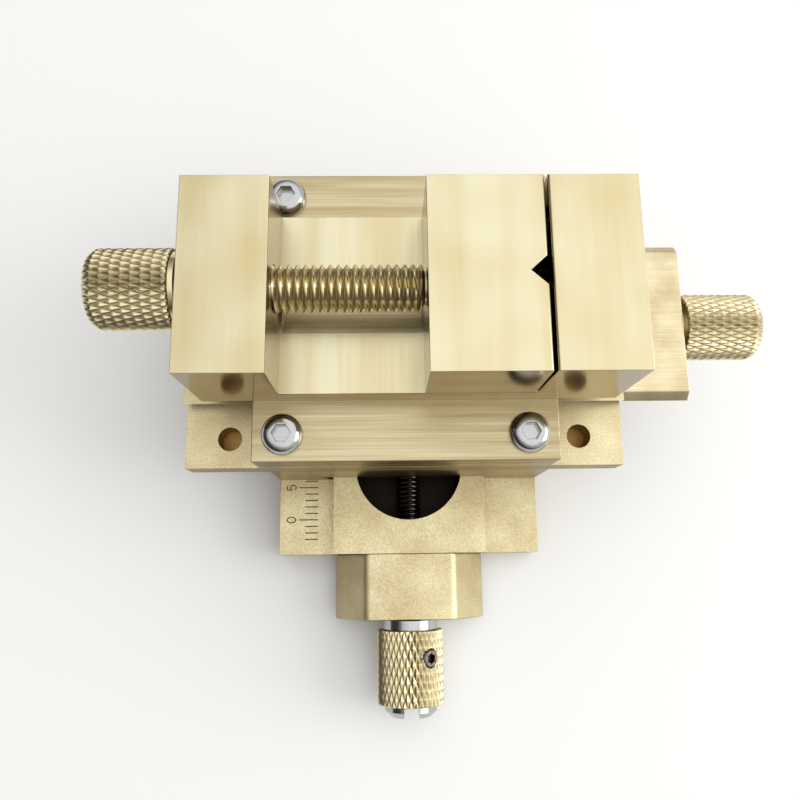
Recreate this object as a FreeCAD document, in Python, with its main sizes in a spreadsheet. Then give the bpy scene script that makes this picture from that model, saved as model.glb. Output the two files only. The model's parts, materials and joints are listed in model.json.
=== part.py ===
import FreeCAD, Part
import math
import os
import Sketcher

# Watch movement holder: a small brass vise carried on two crossed dovetail slides.
# Frame: origin at the centre of the bottom face, +X to the right along the vise,
# +Y to the back, +Z up. Every length is in millimetres.

doc = FreeCAD.newDocument("movement_holder")
sheet = doc.addObject("Spreadsheet::Sheet", "sizes")

SIZES = [
    # slides: one long base and one short carriage each
    ("stage_width", 40.0),
    ("y_base_length", 59.0),
    ("x_base_length", 60.0),
    ("carriage_length", 40.0),
    ("y_flange", 6.5),
    ("x_flange", 4.4),
    ("y_rail", 3.3),
    ("x_rail", 2.2),
    ("rail_width", 23.0),
    ("y_undercut", 1.9),
    ("x_undercut", 1.27),
    ("y_plate", 8.35),
    ("x_plate", 4.0),
    ("slot_width", 16.2),
    ("slot_margin", 5.0),
    ("y_slot_floor", 1.2),
    ("gib_thick", 1.8),
    ("gib_inset", 1.0),
    ("slide_gap", 0.1),
    ("flank_gap", 0.06),
    ("y_rest", 2.0),
    ("x_base_shift", -0.8),
    ("vise_shift", 0.5),
    # lead screws and their end blocks
    ("axis_drop", 3.8),
    ("lead_radius", 2.0),
    ("run_gap", 0.05),
    ("lead_end_gap", 2.0),
    ("y_block_length", 9.7),
    ("x_block_length", 9.2),
    ("block_height", 8.2),
    ("block_wide", 11.4),
    ("block_mid", 7.1),
    ("block_narrow", 5.9),
    ("block_shoulder", 10.2),
    ("block_chamfer", 1.1),
    ("block_lip", 0.7),
    ("block_flank", 5.3),
    ("block_screw_reach", 7.6),
    ("block_screw_shift", 1.2),
    ("nut_length", 8.0),
    ("nut_width", 13.0),
    ("nut_drop", 2.65),
    ("nut_screw_reach", 4.6),
    ("thrust_radius", 3.4),
    ("thrust_length", 2.4),
    # hand knobs
    ("neck_radius", 4.15),
    ("neck_length", 1.3),
    ("x_neck_length", 0.35),
    ("core_radius", 3.9),
    ("core_stand", 1.6),
    ("y_knob_radius", 5.0),
    ("y_knob_length", 10.8),
    ("x_knob_radius", 4.75),
    ("x_knob_length", 11.0),
    ("knob_edge", 0.4),
    ("knob_round", 1.6),
    ("driver_slot_width", 2.2),
    ("driver_slot_depth", 1.4),
    ("grub_radius", 1.25),
    ("grub_lean", 37.0),
    ("y_grub_reach", 4.0),
    ("x_grub_reach", 3.5),
    # fasteners
    ("small_radius", 1.25),
    ("small_head", 2.1),
    ("small_head_depth", 1.5),
    ("rail_screw_radius", 1.5),
    ("rail_screw_shift", 0.75),
    ("y_screw_pitch_long", 33.0),
    ("x_screw_pitch_long", 32.0),
    ("button_radius", 2.7),
    ("button_height", 1.65),
    ("sunk_head", 2.8),
    ("sunk_depth", 1.7),
    ("socket_radius", 1.15),
    ("socket_depth", 1.0),
    ("gib_screw_radius", 0.75),
    ("gib_screw_pitch", 12.0),
    # mounting holes
    ("hole_pitch_long", 48.0),
    ("hole_pitch_wide", 32.0),
    ("x_hole_radius", 1.65),
    ("x_hole_depth", 3.6),
    ("y_hole_radius", 1.65),
    ("y_hole_depth", 4.5),
    ("x_fix_long", 10.0),
    ("x_fix_wide", 16.0),
    # vise
    ("vise_length", 54.2),
    ("vise_width", 24.0),
    ("vise_height", 15.0),
    ("bed_height", 3.8),
    ("tail_length", 10.55),
    ("fixed_jaw", 10.9),
    ("jaw_length", 14.0),
    ("jaw_opening", 0.35),
    ("jaw_edge", 0.25),
    ("notch_width", 3.8),
    ("notch_depth", 2.1),
    ("bed_slot", 5.4),
    ("ledge_slot", 7.8),
    ("ledge_depth", 0.8),
    ("keeper_slot", 11.0),
    ("keeper_depth", 1.4),
    ("slot_end_gap", 0.4),
    ("keeper_length", 10.0),
    ("keeper_gap", 0.15),
    ("keeper_screw_pitch", 5.4),
    ("keeper_screw_radius", 0.8),
    ("vise_screw_x", 17.6),
    ("vise_screw_y", 8.0),
    ("vise_bolt_radius", 1.0),
    ("vise_bolt_head", 1.75),
    ("vise_bolt_bite", 4.0),
    ("spindle_drop", 6.0),
    ("spindle_radius", 2.95),
    ("tip_radius", 2.0),
    ("tip_length", 8.0),
    ("groove_radius", 1.2),
    ("groove_start", 3.0),
    ("groove_width", 2.4),
    ("pin_radius", 1.0),
    ("collar_radius", 4.7),
    ("collar_length", 0.8),
    ("collar_gap", 0.4),
    ("vise_knob_radius", 5.0),
    ("vise_knob_length", 10.2),
]
for row, (alias, number) in enumerate(SIZES, start=1):
    sheet.set(f"A{row}", str(number))
    sheet.setAlias(f"A{row}", alias)
doc.recompute()

# Levels and places worked out from the sizes; each may use the names above it.
DERIVED = {
    "y_top": "y_flange + y_rail",
    "x_top": "x_flange + x_rail",
    "x_floor": "y_top + slide_gap + y_plate",
    "vise_floor": "x_floor + x_top + slide_gap + x_plate",
    "half_carriage": "carriage_length / 2",
    "half_width": "stage_width / 2",
    "bore_radius": "lead_radius + run_gap",
    "rail_screw_wide": "rail_width / 2 + half_width + rail_screw_shift * 2",
    "half_vise": "vise_length / 2",
    "tail_face": "tail_length - half_vise",
    "fixed_face": "half_vise - fixed_jaw",
    "jaw_front": "fixed_face - jaw_opening",
    "jaw_back": "jaw_front - jaw_length",
    "jaw_middle": "jaw_back + jaw_length / 2",
    "spindle_level": "vise_height - spindle_drop",
    "tapped_radius": "spindle_radius + run_gap",
}
NAMES = [alias for alias, number in SIZES]


def formula(text):
    """Write out derived names and point the rest at the spreadsheet."""
    words = text.replace("(", " ( ").replace(")", " ) ").split()
    out = []
    for word in words:
        if word in DERIVED:
            out.append("(" + formula(DERIVED[word]) + ")")
        elif word in NAMES:
            out.append("sizes." + word)
        else:
            out.append(word)
    return " ".join(out)


def number(text):
    return float(sheet.evalExpression(formula(text)))


class Stage:
    """Where one slide stands: its floor level, turn about Z, and names of its sizes."""

    def __init__(self, name, floor, turn, flange, gib_side, slot_floor):
        self.name = name
        self.floor = floor
        self.turn = turn
        self.flange = flange
        self.gib_side = gib_side
        self.slot_floor = slot_floor
        self.rail = name + "_rail"
        self.plate = name + "_plate"
        self.top = f"( {flange} + {self.rail} )"
        self.axis = f"( {self.top} - axis_drop )"
        self.end = f"( {name}_base_length / 2 )"
        self.block = name + "_block_length"
        self.face = f"( {self.end} + {self.block} )"
        self.slope = f"( {name}_undercut / {self.rail} )"
        self.foot = f"( rail_width / 2 - {name}_undercut )"


def place(piece, at, turn=None):
    piece.Placement = FreeCAD.Placement(FreeCAD.Vector(), turn or FreeCAD.Rotation())
    for axis, text in zip("xyz", at):
        piece.setExpression(f"Placement.Base.{axis}", formula(text))


def new_body(name, at=("0", "0", "0"), turn=None):
    body = doc.addObject("PartDesign::Body", name)
    body.Label = name
    place(body, at, turn)
    return body


def new_sketch(body, plane, level):
    sketch = body.newObject("Sketcher::SketchObject", "outline")
    support = [f for f in body.Origin.OriginFeatures if f.Role == plane][0]
    sketch.AttachmentSupport = [(support, "")]
    sketch.MapMode = "FlatFace"
    sketch.setExpression("AttachmentOffset.Base.z", formula(level))
    return sketch


def tie(sketch, kind, geometry, end, text):
    """Hold one coordinate of a sketch point at a formula."""
    index = sketch.addConstraint(Sketcher.Constraint(kind, -1, 1, geometry, end, number(text)))
    sketch.setExpression(f"Constraints[{index}]", formula(text))


def add_polygon(sketch, corners):
    points = [FreeCAD.Vector(number(u), number(v), 0) for u, v in corners]
    first = sketch.GeometryCount
    count = len(points)
    for i, point in enumerate(points):
        sketch.addGeometry(Part.LineSegment(point, points[(i + 1) % count]))
    for i, (u, v) in enumerate(corners):
        nxt = first + (i + 1) % count
        sketch.addConstraint(Sketcher.Constraint("Coincident", first + i, 2, nxt, 1))
        tie(sketch, "DistanceX", first + i, 1, u)
        tie(sketch, "DistanceY", first + i, 1, v)


def add_circle(sketch, u, v, radius):
    centre = FreeCAD.Vector(number(u), number(v), 0)
    normal = FreeCAD.Vector(0, 0, 1)
    index = sketch.addGeometry(Part.Circle(centre, normal, number(radius)))
    tie(sketch, "DistanceX", index, 3, u)
    tie(sketch, "DistanceY", index, 3, v)
    held = sketch.addConstraint(Sketcher.Constraint("Radius", index, number(radius)))
    sketch.setExpression(f"Constraints[{held}]", formula(radius))


def feature(body, kind, sketch, length, side="One side", reverse=False):
    made = body.newObject("PartDesign::" + kind, kind.lower())
    made.Profile = sketch
    made.SideType = side
    made.Reversed = reverse
    made.setExpression("Length", formula(length))
    sketch.Visibility = False
    doc.recompute()
    return made


def pad(body, plane, corners, length, level="0", side="Symmetric", reverse=False):
    sketch = new_sketch(body, plane, level)
    add_polygon(sketch, corners)
    return feature(body, "Pad", sketch, length, side, reverse)


def box_pad(body, low, high):
    """A block between two opposite corners, each three formulas."""
    corners = [(low[0], low[1]), (high[0], low[1]), (high[0], high[1]), (low[0], high[1])]
    length = f"{high[2]} - ( {low[2]} )"
    return pad(body, "XY_Plane", corners, length, low[2], "One side")


def cut(body, plane, corners, length, level, reverse=False):
    sketch = new_sketch(body, plane, level)
    add_polygon(sketch, corners)
    return feature(body, "Pocket", sketch, length, "One side", reverse)


def cut_box(body, low, high):
    """Cut the block between two corners, downwards from its top."""
    corners = [(low[0], low[1]), (high[0], low[1]), (high[0], high[1]), (low[0], high[1])]
    return cut(body, "XY_Plane", corners, f"{high[2]} - ( {low[2]} )", high[2])


def drill(body, plane, spots, radius, length, level, reverse=False):
    sketch = new_sketch(body, plane, level)
    for u, v in spots:
        add_circle(sketch, u, v, radius)
    return feature(body, "Pocket", sketch, length, "One side", reverse)


def turned(body, corners):
    """Revolve an outline of (radius, height) corners about the body's Z axis."""
    sketch = new_sketch(body, "XZ_Plane", "0")
    add_polygon(sketch, corners)
    made = body.newObject("PartDesign::Revolution", "revolution")
    made.Profile = sketch
    made.ReferenceAxis = (sketch, ["V_Axis"])
    made.Angle = 360
    doc.recompute()
    return made


def rod(name, at, turn, length, radius):
    """A plain round bar that starts at a point and runs along its own Z axis."""
    made = doc.addObject("Part::Cylinder", name)
    made.setExpression("Radius", formula(radius))
    made.setExpression("Height", formula(length))
    place(made, at, turn)
    return made


ALONG_X = FreeCAD.Rotation(FreeCAD.Vector(0, 1, 0), 90)
AGAINST_X = FreeCAD.Rotation(FreeCAD.Vector(0, 1, 0), -90)
DOWN = FreeCAD.Rotation(FreeCAD.Vector(1, 0, 0), 180)
UP = FreeCAD.Rotation()


def screw(name, at, turn, head, head_height, shank, length):
    """A socket screw: head above the point, shank below it, hexagon recess in the head."""
    top = rod(name + "_head", at, turn, head_height, head)
    stem = rod(name + "_shank", at, turn * DOWN, length, shank)
    solid = doc.addObject("Part::Fuse", name + "_solid")
    solid.Base = top
    solid.Tool = stem
    recess = doc.addObject("Part::Prism", name + "_recess")
    recess.Polygon = 6
    recess.setExpression("Circumradius", formula("socket_radius"))
    recess.setExpression("Height", formula(head_height))
    place(recess, at, turn)
    lift = FreeCAD.Placement(FreeCAD.Vector(0, 0, 0), FreeCAD.Rotation())
    recess.Placement = recess.Placement.multiply(lift)
    shift = turn.multVec(FreeCAD.Vector(0, 0, 1))
    for axis, text, amount in zip("xyz", at, shift):
        if abs(amount) > 0.5:
            sign = "+" if amount > 0 else "-"
            rise = f"( {head_height} - socket_depth )"
            recess.setExpression(f"Placement.Base.{axis}", formula(f"{text} {sign} {rise}"))
    made = doc.addObject("Part::Cut", name + "_cut")
    made.Base = solid
    made.Tool = recess
    return made


def group(name, pieces, at=("0", "0", "0"), turn=None):
    made = doc.addObject("Part::Compound", name)
    made.Label = name
    made.Links = pieces
    place(made, at, turn)
    return made


def stage_place(stage, travel_x="0", travel_y="0"):
    return {"at": (travel_x, travel_y, stage.floor), "turn": stage.turn}


def dovetail_base(stage, where):
    """Flanged base with the male dovetail, its screw slot and the bore to the end block."""
    body = new_body(stage.name + "_base", **where)
    top, flange = stage.top, stage.flange
    outline = [("- half_width", "0"), ("half_width", "0"), ("half_width", flange),
               (stage.foot, flange), ("rail_width / 2", top), ("- rail_width / 2", top),
               ("- " + stage.foot, flange), ("- half_width", flange)]
    pad(body, "YZ_Plane", outline, stage.end + " * 2")
    depth = f"{top} - ( {stage.slot_floor} )"
    end = f"( {stage.end} - slot_margin - slot_width / 2 )"
    slot = [("- " + end, "- slot_width / 2"), (end, "- slot_width / 2"),
            (end, "slot_width / 2"), ("- " + end, "slot_width / 2")]
    cut(body, "XY_Plane", slot, depth, top)
    for sign in ("-", "+"):
        drill(body, "XY_Plane", [(f"0 {sign} {end}", "0")], "slot_width / 2", depth, top)
    drill(body, "YZ_Plane", [("0", stage.axis)], "bore_radius + run_gap",
          "slot_margin + slot_width / 2", stage.end)
    taps = [(f"{sign} block_screw_reach", stage.screw_level) for sign in ("0 -", "0 +")]
    drill(body, "YZ_Plane", taps, "small_radius", "slot_margin - 1", stage.end)
    return body


def corner_spots(long_pitch, wide_pitch):
    return [(f"{a} {long_pitch} / 2", f"{b} {wide_pitch} / 2")
            for a in ("0 -", "0 +") for b in ("0 -", "0 +")]


def end_block(stage, where, outline):
    """Bearing block screwed to the base's end: through bore, thrust pocket, two screw holes."""
    body = new_body(stage.name + "_end_block", **where)
    pad(body, "YZ_Plane", outline, stage.block, stage.end, "One side")
    drill(body, "YZ_Plane", [("0", stage.axis)], "bore_radius", stage.block, stage.face)
    drill(body, "YZ_Plane", [("0", stage.axis)], "thrust_radius + run_gap * 2",
          "thrust_length + slide_gap * 2", stage.end, True)
    spots = [(f"{sign} block_screw_reach", stage.screw_level) for sign in ("0 -", "0 +")]
    drill(body, "YZ_Plane", spots, "small_radius + run_gap", stage.block, stage.face)
    drill(body, "YZ_Plane", spots, "small_head + run_gap", "small_head_depth + slide_gap",
          stage.face)
    pieces = []
    for index, (across, level) in enumerate(spots):
        at = (f"{stage.face} - small_head_depth - slide_gap", across, level)
        pieces.append(screw(f"{stage.name}_block_screw_{index}", at, ALONG_X, "small_head",
                            "small_head_depth", "small_radius - run_gap",
                            f"{stage.block} - small_head_depth + slot_margin - 2"))
    group(stage.name + "_end_block_screws", pieces, **where)


def thrust_nut(stage, where):
    """Ring fixed to the lead screw behind the end block, which takes the pull."""
    body = new_body(stage.name + "_thrust_nut", **where)
    sketch = new_sketch(body, "YZ_Plane", f"{stage.end} + slide_gap")
    add_circle(sketch, "0", stage.axis, "thrust_radius")
    add_circle(sketch, "0", stage.axis, "bore_radius")
    feature(body, "Pad", sketch, "thrust_length")


def lead_screw(stage, where, reach):
    """Threaded rod from the far end of the slot to inside the knob."""
    start = f"( {stage.end} - slot_margin - lead_end_gap )"
    made = rod(stage.name + "_lead_screw", ("0", "0", "0"), None, f"{start} + {reach}",
               "lead_radius")
    made.Label = stage.name + "_lead_screw"
    x, y, z = where["at"]
    level = f"{z} + {stage.axis}"
    if stage.name == "x":
        place(made, (f"{x} - {start}", y, level), ALONG_X)
    else:
        place(made, (x, f"{y} + {start}", level), FreeCAD.Rotation(FreeCAD.Vector(1, 0, 0), 90))


def carriage(stage, where, sunk):
    """Short plate with two dovetail rails, gib, gib screws, drive nut and their screws."""
    body = new_body(stage.name + "_carriage_plate", **where)
    under = f"( {stage.top} + slide_gap )"
    top = f"( {under} + {stage.plate} )"
    box_pad(body, ("0 - half_carriage", "0 - half_width", under),
            ("half_carriage", "half_width", top))
    corners = corner_spots(stage.screw_pitch, "rail_screw_wide")
    drill(body, "XY_Plane", corners, "rail_screw_radius + run_gap", stage.plate, top)
    if sunk:
        drill(body, "XY_Plane", corners, "sunk_head + run_gap", "sunk_depth + slide_gap", top)
    nut_spots = [("0", "0 - nut_screw_reach"), ("0", "nut_screw_reach")]
    drill(body, "XY_Plane", nut_spots, "small_radius + run_gap", stage.plate, top)
    drill(body, "XY_Plane", nut_spots, "small_head + run_gap",
          "small_head_depth + slide_gap", top)

    bottom = f"( {stage.flange} + slide_gap )"
    for side, name in ((1, stage.plain_rail), (-1, stage.gib_rail)):
        rail = new_body(stage.name + "_" + name, **where)
        spare = "flank_gap" if side > 0 else "flank_gap * 2 + gib_thick"
        sign = "0 +" if side * stage.gib_side < 0 else "0 -"
        inner_low = f"( {stage.foot} + {stage.slope} * slide_gap + {spare} )"
        inner_high = f"( rail_width / 2 + {stage.slope} * slide_gap + {spare} )"
        outline = [(f"{sign} {inner_low}", bottom), (f"{sign} half_width", bottom),
                   (f"{sign} half_width", under), (f"{sign} {inner_high}", under)]
        pad(rail, "YZ_Plane", outline, "carriage_length")
        taps = [(f"{end} {stage.screw_pitch} / 2", f"{sign} rail_screw_wide / 2")
                for end in ("0 -", "0 +")]
        drill(rail, "XY_Plane", taps, "rail_screw_radius + run_gap", stage.rail, under)
        if side < 0:
            gib_and_screws(stage, where, rail, sign, bottom, under)

    pieces = []
    if sunk:
        head, head_height = "sunk_head", "sunk_depth"
        seat = f"{top} - sunk_depth - slide_gap"
        length = f"{stage.plate} - sunk_depth + {stage.rail} * 0.8"
    else:
        head, head_height = "button_radius", "button_height"
        seat = top
        length = f"{stage.plate} + {stage.rail} * 0.8"
    for index, (along, across) in enumerate(corners):
        pieces.append(screw(f"{stage.name}_rail_screw_{index}", (along, across, seat), UP,
                            head, head_height, "rail_screw_radius", length))
    group(stage.name + "_rail_screws", pieces, **where)

    nut = new_body(stage.name + "_drive_nut", **where)
    box_pad(nut, ("0 - nut_length / 2", "0 - nut_width / 2", f"{stage.axis} - nut_drop"),
            ("nut_length / 2", "nut_width / 2", under))
    drill(nut, "YZ_Plane", [("0", stage.axis)], "bore_radius", "nut_length", "nut_length / 2")
    drill(nut, "XY_Plane", nut_spots, "small_radius", "axis_drop", under)
    seat = f"{top} - small_head_depth - slide_gap"
    pieces = [screw(f"{stage.name}_nut_screw_{index}", (u, v, seat), UP, "small_head",
                    "small_head_depth", "small_radius - run_gap",
                    f"{stage.plate} - small_head_depth + axis_drop - 1")
              for index, (u, v) in enumerate(nut_spots)]
    group(stage.name + "_drive_nut_screws", pieces, **where)


def gib_and_screws(stage, where, rail, sign, bottom, under):
    """Sliding strip between rail and dovetail, and the three screws that press on it."""
    low = f"( {stage.foot} + {stage.slope} * slide_gap * 2 + flank_gap )"
    high = "( rail_width / 2 + flank_gap )"
    outline = [(f"{sign} {low}", f"{bottom} + slide_gap"),
               (f"{sign} ( {low} + gib_thick )", f"{bottom} + slide_gap"),
               (f"{sign} ( {high} + gib_thick )", f"{under} - slide_gap"),
               (f"{sign} {high}", f"{under} - slide_gap")]
    gib = new_body(stage.name + "_gib", **where)
    pad(gib, "YZ_Plane", outline, "carriage_length - gib_inset * 2")

    level = f"( {bottom} + {stage.rail} / 2 )"
    rise = f"( {stage.slope} * ( {stage.rail} / 2 + gib_screw_radius ) )"
    tip = f"( {stage.foot} + {rise} + gib_thick + flank_gap * 3 )"
    reach = f"( half_width - {tip} )"
    spots = [(f"0 {along}", level) for along in ("- gib_screw_pitch", "+ 0", "+ gib_screw_pitch")]
    # the XZ plane faces -Y, so its depth is measured the other way
    facing = sign == "0 -"
    level_text = "half_width" if facing else "0 - half_width"
    drill(rail, "XZ_Plane", spots, "gib_screw_radius + run_gap", "half_width", level_text,
          not facing)
    turn = FreeCAD.Rotation(FreeCAD.Vector(1, 0, 0), 90 if facing else -90)
    pieces = []
    for index, (along, height) in enumerate(spots):
        at = (along, f"{sign} {tip}", height)
        pieces.append(rod(f"{stage.name}_gib_screw_{index}", at, turn,
                          f"{reach} - slide_gap * 2", "gib_screw_radius"))
    group(stage.name + "_gib_screws", pieces, **where)


y_stage = Stage("y", "0", FreeCAD.Rotation(FreeCAD.Vector(0, 0, 1), -90), "y_flange", -1,
                "y_slot_floor")
y_stage.screw_level = f"{y_stage.axis} - block_screw_shift"
y_stage.plain_rail, y_stage.gib_rail = "rail_right", "rail_left"
y_stage.screw_pitch = "y_screw_pitch_long"
x_stage = Stage("x", "x_floor", FreeCAD.Rotation(), "x_flange", 1, "0")
x_stage.screw_level = f"{x_stage.axis} + block_screw_shift"
x_stage.plain_rail, x_stage.gib_rail = "rail_front", "rail_back"
x_stage.screw_pitch = "x_screw_pitch_long"


def build_y_stage():
    still = stage_place(y_stage)
    body = dovetail_base(y_stage, still)
    drill(body, "XY_Plane", corner_spots("hole_pitch_long", "hole_pitch_wide"),
          "y_hole_radius", "y_hole_depth", "0", True)
    top, low = y_stage.top, f"{y_stage.top} - block_height"
    half = [("block_wide", low), ("block_wide", f"{top} - block_lip - block_flank"),
            ("block_mid", f"{top} - block_lip"), ("block_narrow", top)]
    outline = half + [("0 - " + u, v) for u, v in reversed(half)]
    end_block(y_stage, still, outline)
    thrust_nut(y_stage, still)
    lead_screw(y_stage, still, f"{y_stage.face} + neck_length + y_knob_length / 2")

    # the knob's own Z axis runs out along -Y from the end block's face
    out = FreeCAD.Rotation(FreeCAD.Vector(1, 0, 0), 90)
    at = ("0", f"0 - {y_stage.face} - slide_gap", y_stage.axis)
    core = new_body("y_spindle", at, out)
    end = "( neck_length + y_knob_length + core_stand )"
    bore_end = "( neck_length + y_knob_length * 0.6 )"
    turned(core, [("bore_radius", "0"), ("neck_radius", "0"), ("neck_radius", "neck_length"),
                  ("core_radius", "neck_length"), ("core_radius", f"{end} - knob_edge * 2"),
                  ("core_radius - knob_edge * 2", end), ("0", end), ("0", bore_end),
                  ("bore_radius", bore_end)])
    cut_box(core, ("0 - driver_slot_width / 2", "0 - core_radius * 2", f"{end} - driver_slot_depth"),
            ("driver_slot_width / 2", "core_radius * 2", end))
    leaning = out * FreeCAD.Rotation(FreeCAD.Vector(0, 0, 1), 0 - number("grub_lean"))
    knob = new_body("y_knob", at, leaning)
    start, stop = "( neck_length + run_gap )", "( neck_length + y_knob_length )"
    inner = "( core_radius + run_gap )"
    turned(knob, [(inner, start), ("y_knob_radius - knob_edge", start),
                  ("y_knob_radius", f"{start} + knob_edge"), ("y_knob_radius", f"{stop} - knob_edge"),
                  ("y_knob_radius - knob_edge", stop), (inner, stop)])
    level = "( neck_length + y_grub_reach )"
    drill(knob, "XZ_Plane", [("0", level)], "grub_radius + run_gap",
          "y_knob_radius + 1", "0 - y_knob_radius - 1", True)
    grub = rod("y_grub", ("0", "core_radius + run_gap", level),
               FreeCAD.Rotation(FreeCAD.Vector(1, 0, 0), -90),
               "y_knob_radius - core_radius - run_gap * 3", "grub_radius")
    group("y_knob_grub_screw", [grub], at, leaning)


def build_x_stage():
    on_y = stage_place(x_stage, "x_base_shift", "y_rest")
    body = dovetail_base(x_stage, on_y)
    drill(body, "XY_Plane", corner_spots("hole_pitch_long", "hole_pitch_wide"),
          "x_hole_radius", "x_hole_depth", "x_flange")
    fix = corner_spots("x_fix_long * 2", "x_fix_wide * 2")
    drill(body, "XY_Plane", fix, "small_radius + run_gap", "x_flange", "x_flange")
    drill(body, "XY_Plane", fix, "small_head + run_gap", "small_head_depth + slide_gap",
          "x_flange")
    seat = "x_flange - small_head_depth - slide_gap"
    pieces = [screw(f"x_base_screw_{index}", (u, v, seat), UP, "small_head",
                    "small_head_depth", "small_radius - run_gap",
                    "x_flange - small_head_depth + y_plate / 2")
              for index, (u, v) in enumerate(fix)]
    group("x_base_screws", pieces, **on_y)
    plate = doc.getObject("y_carriage_plate")
    taps = [(u, v + " + x_base_shift") for u, v in corner_spots("x_fix_wide * 2", "x_fix_long * 2")]
    drill(plate, "XY_Plane", taps, "small_radius", "y_plate / 2 + slide_gap * 2", "x_floor")
    top, low = x_stage.top, f"{x_stage.top} - block_height"
    half = [("block_narrow", low), ("block_mid", f"{low} + block_lip"),
            ("block_wide", f"{top} - block_chamfer"), ("block_shoulder", top)]
    outline = half + [("0 - " + u, v) for u, v in reversed(half)]
    end_block(x_stage, on_y, outline)
    thrust_nut(x_stage, on_y)
    lead_screw(x_stage, on_y, f"{x_stage.face} + x_neck_length + x_knob_length * 0.6")

    at = (f"{x_stage.face} + slide_gap + x_base_shift", "y_rest", f"x_floor + {x_stage.axis}")
    collar = new_body("x_screw_collar", at, ALONG_X)
    turned(collar, [("bore_radius", "0"), ("neck_radius - 1", "0"),
                    ("neck_radius - 1", "x_neck_length"), ("bore_radius", "x_neck_length")])
    knob = new_body("x_knob", at, ALONG_X)
    start = "( x_neck_length + run_gap )"
    stop = "( x_neck_length + x_knob_length )"
    bore_end = "( x_neck_length + x_knob_length * 0.65 )"
    turned(knob, [("bore_radius", start), ("x_knob_radius - knob_edge", start),
                  ("x_knob_radius", f"{start} + knob_edge"),
                  ("x_knob_radius", f"{stop} - knob_round"),
                  ("x_knob_radius - knob_round * 0.3", f"{stop} - knob_round * 0.3"),
                  ("x_knob_radius - knob_round", stop), ("0", stop), ("0", bore_end),
                  ("bore_radius", bore_end)])
    # grub hole on the knob's underside: the knob's own +X points down
    level = "( x_neck_length + x_grub_reach )"
    drill(knob, "YZ_Plane", [("0", level)], "grub_radius + run_gap",
          "x_knob_radius + 1", "x_knob_radius + 1")
    grub = rod("x_grub", ("bore_radius + run_gap", "0", level),
               FreeCAD.Rotation(FreeCAD.Vector(0, 1, 0), 90),
               "x_knob_radius - bore_radius - grub_radius * 0.4", "grub_radius")
    group("x_knob_grub_screw", [grub], at, ALONG_X)


def build_vise():
    at = ("x_base_shift + vise_shift", "y_rest", "vise_floor")
    body = new_body("vise_body", at)
    outline = [("0 - half_vise", "0"), ("half_vise", "0"), ("half_vise", "vise_height"),
               ("fixed_face + jaw_edge", "vise_height"), ("fixed_face", "vise_height - jaw_edge"),
               ("fixed_face", "bed_height"), ("tail_face", "bed_height"),
               ("tail_face", "vise_height"), ("0 - half_vise", "vise_height")]
    pad(body, "XZ_Plane", outline, "vise_width")
    left, right = "tail_face + slot_end_gap", "fixed_face - slot_end_gap"
    for half, low, high in (("bed_slot / 2", "0", "bed_height"),
                            ("ledge_slot / 2", "bed_height - ledge_depth", "bed_height"),
                            ("keeper_slot / 2", "0", "keeper_depth")):
        cut_box(body, (left, "0 - " + half, low), (right, half, high))
    drill(body, "YZ_Plane", [("0", "spindle_level")], "tapped_radius", "tail_length", "tail_face")
    spots = corner_spots("vise_screw_x * 2", "vise_screw_y * 2")
    drill(body, "XY_Plane", spots, "vise_bolt_radius", "vise_bolt_bite + 1", "0", True)

    plate = doc.getObject("x_carriage_plate")
    under = f"( {x_stage.top} + slide_gap )"
    moved = [(u + " + vise_shift", v) for u, v in spots]
    drill(plate, "XY_Plane", moved, "vise_bolt_radius + run_gap", "x_plate", under, True)
    drill(plate, "XY_Plane", moved, "vise_bolt_head + run_gap", "small_head_depth + slide_gap",
          under, True)
    seat = f"x_floor + {x_stage.top} + slide_gap * 2 + small_head_depth"
    pieces = [screw(f"vise_bolt_{index}", (u, v, "0"), DOWN, "vise_bolt_head",
                    "small_head_depth", "vise_bolt_radius - run_gap",
                    "x_plate - small_head_depth + vise_bolt_bite - 1")
              for index, (u, v) in enumerate(spots)]
    group("vise_mount_screws", pieces, (at[0], "y_rest", seat))

    jaw = new_body("moving_jaw", at)
    floor = "( bed_height + run_gap )"
    outline = [("jaw_back", floor), ("jaw_front", floor),
               ("jaw_front", "vise_height - jaw_edge"), ("jaw_front - jaw_edge", "vise_height"),
               ("jaw_back", "vise_height")]
    pad(jaw, "XZ_Plane", outline, "vise_width")
    notch = [("jaw_front", "0 - notch_width / 2"), ("jaw_front", "notch_width / 2"),
             ("jaw_front - notch_depth", "0")]
    cut(jaw, "XY_Plane", notch, "vise_height", "vise_height")
    drill(jaw, "YZ_Plane", [("0", "spindle_level")], "tip_radius + run_gap",
          "tip_length + 0.5", "jaw_back", True)
    keeper_spots = [(f"jaw_middle {sign} keeper_screw_pitch / 2", "0") for sign in ("-", "+")]
    drill(jaw, "XY_Plane", [keeper_spots[1]], "keeper_screw_radius + run_gap",
          "1.8", floor, True)
    pin_spot = [("jaw_back + groove_start + groove_width / 2", "0")]
    drill(jaw, "XY_Plane", pin_spot, "pin_radius + run_gap", "spindle_drop", floor, True)

    keeper = new_body("jaw_keeper", at)
    ends = ("jaw_middle - keeper_length / 2", "jaw_middle + keeper_length / 2")
    flange = "( keeper_depth - keeper_gap )"
    neck = "( bed_slot / 2 - keeper_gap )"
    wing = "( keeper_slot / 2 - keeper_gap )"
    half = [(wing, "keeper_gap"), (wing, flange), (neck, flange), (neck, "bed_height")]
    outline = half + [("0 - " + u, v) for u, v in reversed(half)]
    pad(keeper, "YZ_Plane", outline, "keeper_length", "jaw_middle")
    drill(keeper, "XY_Plane", [keeper_spots[1]], "keeper_screw_radius + run_gap",
          "bed_height", "bed_height")
    drill(keeper, "XY_Plane", [keeper_spots[1]], "keeper_screw_radius * 2",
          "1", "keeper_gap", True)
    drill(keeper, "XY_Plane", pin_spot, "pin_radius + run_gap", "bed_height", "bed_height")
    return jaw


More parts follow.
